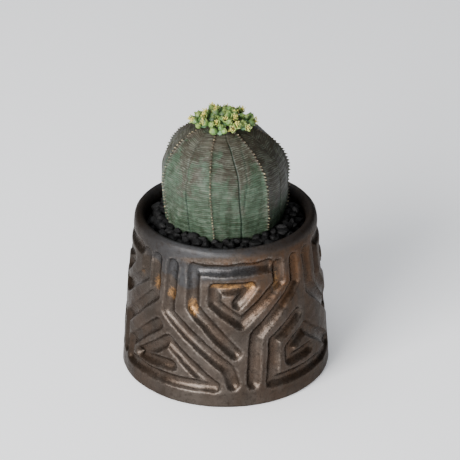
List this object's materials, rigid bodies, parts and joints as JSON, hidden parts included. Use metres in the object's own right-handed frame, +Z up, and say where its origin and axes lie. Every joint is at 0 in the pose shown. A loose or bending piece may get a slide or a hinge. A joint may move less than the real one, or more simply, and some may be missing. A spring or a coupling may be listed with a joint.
{
  "type": "potted round succulent",
  "caption": "Round ribbed succulent with a crown of small forked flower stalks, set in black gravel in a tapered stoneware pot with carved channels.",
  "frame": {"origin": "centre of the pot's underside, on the pot's axis", "axes": "+Z up along the pot's axis, -Y towards the front, +X to the right of the front"},
  "size_m": [0.1158, 0.1158, 0.1507],
  "materials": {
    "stoneware": "dark bronze-brown metallic wash over stoneware, satin, with deeper dull channels",
    "mesh_plastic": "matte black plastic mesh",
    "pumice": "rough, porous",
    "potting_mix": "crumbly grit and compost, matte",
    "black_gravel": "rough black lava stones, matte with small glints",
    "stem_skin": "waxy grey-green skin with fine pale cross lines and purplish bands",
    "flower_green": "soft satin yellow-green with yellow anthers"
  },
  "bodies": {
    "root": {"pot": "stoneware", "drainage_mesh": "mesh_plastic", "drainage_layer": "pumice", "potting_mix": "potting_mix", "gravel_bed": "black_gravel", "gravel_stone_01": "black_gravel", "gravel_stone_02": "black_gravel", "gravel_stone_03": "black_gravel", "gravel_stone_04": "black_gravel", "gravel_stone_05": "black_gravel", "gravel_stone_06": "black_gravel", "gravel_stone_07": "black_gravel", "gravel_stone_08": "black_gravel", "gravel_stone_09": "black_gravel", "gravel_stone_10": "black_gravel", "gravel_stone_11": "black_gravel", "gravel_stone_12": "black_gravel", "gravel_stone_13": "black_gravel", "gravel_stone_14": "black_gravel", "gravel_stone_15": "black_gravel", "gravel_stone_16": "black_gravel", "gravel_stone_17": "black_gravel", "gravel_stone_18": "black_gravel", "gravel_stone_19": "black_gravel", "gravel_stone_20": "black_gravel", "gravel_stone_21": "black_gravel", "gravel_stone_22": "black_gravel", "gravel_stone_23": "black_gravel", "gravel_stone_24": "black_gravel", "gravel_stone_25": "black_gravel", "gravel_stone_26": "black_gravel", "gravel_stone_27": "black_gravel", "gravel_stone_28": "black_gravel", "gravel_stone_29": "black_gravel", "gravel_stone_30": "black_gravel", "stem": "stem_skin", "flower_stalk_01": "flower_green", "flower_stalk_02": "flower_green", "flower_stalk_03": "flower_green", "flower_stalk_04": "flower_green", "flower_stalk_05": "flower_green", "flower_stalk_06": "flower_green", "flower_stalk_07": "flower_green", "flower_stalk_08": "flower_green", "flower_stalk_09": "flower_green", "flower_stalk_10": "flower_green", "flower_stalk_11": "flower_green", "flower_stalk_12": "flower_green", "flower_stalk_13": "flower_green", "flower_stalk_14": "flower_green", "flower_stalk_15": "flower_green", "flower_stalk_16": "flower_green"}
  },
  "joints": []
}
